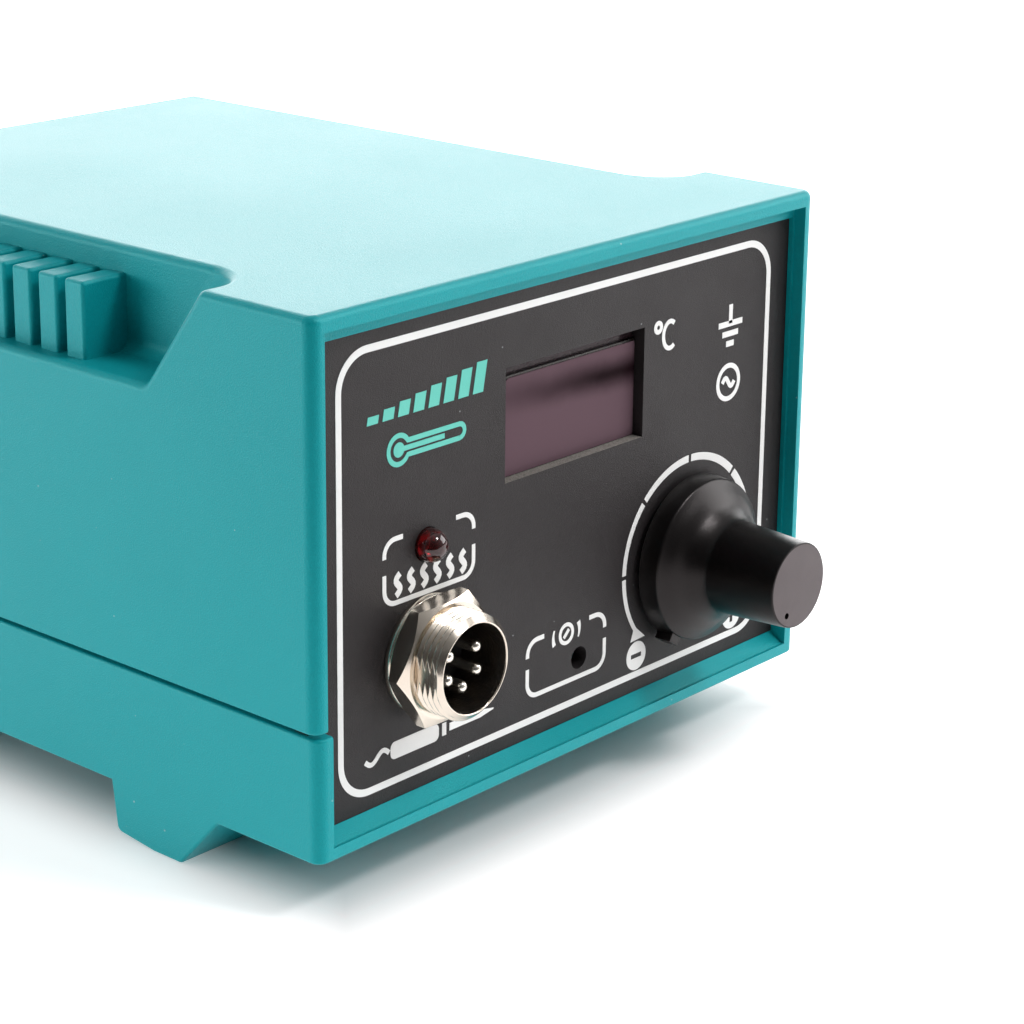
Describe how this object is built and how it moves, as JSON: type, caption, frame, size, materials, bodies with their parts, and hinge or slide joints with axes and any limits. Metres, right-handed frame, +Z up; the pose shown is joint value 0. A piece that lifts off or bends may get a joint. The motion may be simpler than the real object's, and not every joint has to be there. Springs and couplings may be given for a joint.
{
  "type": "soldering iron station",
  "caption": "Bench soldering station with a split case on moulded feet, finned stepped shoulders, display window, lamp, threaded iron socket and a turning temperature knob.",
  "frame": {"origin": "centre of the bounding box's footprint, on the bench that the feet stand on", "axes": "+X to the right seen from the front, +Y from the front panel to the back, +Z up"},
  "size_m": [0.1138, 0.1544, 0.088],
  "materials": {
    "case_plastic": "fine moulded grain, satin",
    "panel_plastic": "fine moulded grain, matte",
    "zinc_steel": "zinc plated",
    "tinted_window": "dark red tinted acrylic",
    "display_plastic": "black face with pale segments",
    "red_lamp": "clear red dome",
    "nickel": "bright nickel plate",
    "black_insulator": "moulded, matte",
    "plated_pin": "silver plated brass",
    "aluminium_shaft": "turned",
    "knob_plastic": "satin black, fine grain",
    "circuit_board": "green lacquer",
    "trimmer_blue": "moulded",
    "trimmer_white": "moulded",
    "capacitor_sleeve": "shrink sleeve",
    "raw_aluminium": "extruded",
    "terminal_green": "moulded",
    "core_steel": "varnished laminations",
    "bobbin_plastic": "moulded",
    "copper_winding": "enamelled copper under tape",
    "inlet_plastic": "moulded, satin",
    "fuse_glass": "glass tube with metal caps",
    "rocker_plastic": "moulded, gloss",
    "wire_brown": "insulated wire",
    "wire_yellow": "insulated wire",
    "wire_grey": "insulated wire"
  },
  "bodies": {
    "station": {"bottom_case": "case_plastic", "top_cover": "case_plastic", "front_panel": "panel_plastic", "rear_panel": "panel_plastic", "case_screws": "zinc_steel", "board_spacers": "bobbin_plastic", "display_window": "tinted_window", "display_module": "display_plastic", "heating_lamp": "red_lamp", "socket_shell": "nickel", "socket_washer": "nickel", "socket_nut": "nickel", "socket_insulator": "black_insulator", "socket_pins": "plated_pin", "pot_body": "zinc_steel", "pot_washer": "zinc_steel", "pot_nut": "zinc_steel", "pot_terminals": "plated_pin", "control_board": "circuit_board", "board_screws": "zinc_steel", "trimmer_body": "trimmer_blue", "control_chip": "black_insulator", "amplifier_chip": "black_insulator", "filter_capacitors": "capacitor_sleeve", "triac": "black_insulator", "heat_sink": "raw_aluminium", "heat_sink_screw": "zinc_steel", "supply_terminal": "terminal_green", "transformer_core": "core_steel", "transformer_bobbin": "bobbin_plastic", "transformer_windings": "copper_winding", "transformer_bracket": "zinc_steel", "transformer_screws": "zinc_steel", "mains_inlet": "inlet_plastic", "inlet_pins": "plated_pin", "inlet_screws": "zinc_steel", "inlet_nuts": "zinc_steel", "switch_housing": "inlet_plastic", "switch_terminals": "plated_pin", "mains_wires": "wire_brown", "supply_wires": "wire_yellow", "iron_wires": "wire_grey"},
    "knob": {"temperature_knob": "knob_plastic", "pot_shaft": "aluminium_shaft"},
    "trimmer": {"trimmer_rotor": "trimmer_white"},
    "rocker": {"switch_rocker": "rocker_plastic"},
    "fuse_holder": {"fuse_drawer": "inlet_plastic", "fuse": "fuse_glass"}
  },
  "joints": [
    {"name": "knob_turn", "type": "hinge", "parent": "station", "child": "knob", "pos_m": [0.0297, -0.0653, 0.0323], "axis": [0, 1, 0], "range_deg": [0, 300]},
    {"name": "trimmer_turn", "type": "hinge", "parent": "station", "child": "trimmer", "pos_m": [0.003, -0.0438, 0.0222], "axis": [0, 1, 0], "range_deg": [-130, 130]},
    {"name": "rocker_tilt", "type": "hinge", "parent": "station", "child": "rocker", "pos_m": [0.028, 0.0692, 0.042], "axis": [1, 0, 0], "range_deg": [0, 22]},
    {"name": "fuse_slide", "type": "slide", "parent": "station", "child": "fuse_holder", "axis": [0, 1, 0], "range_m": [0, 0.022]}
  ]
}
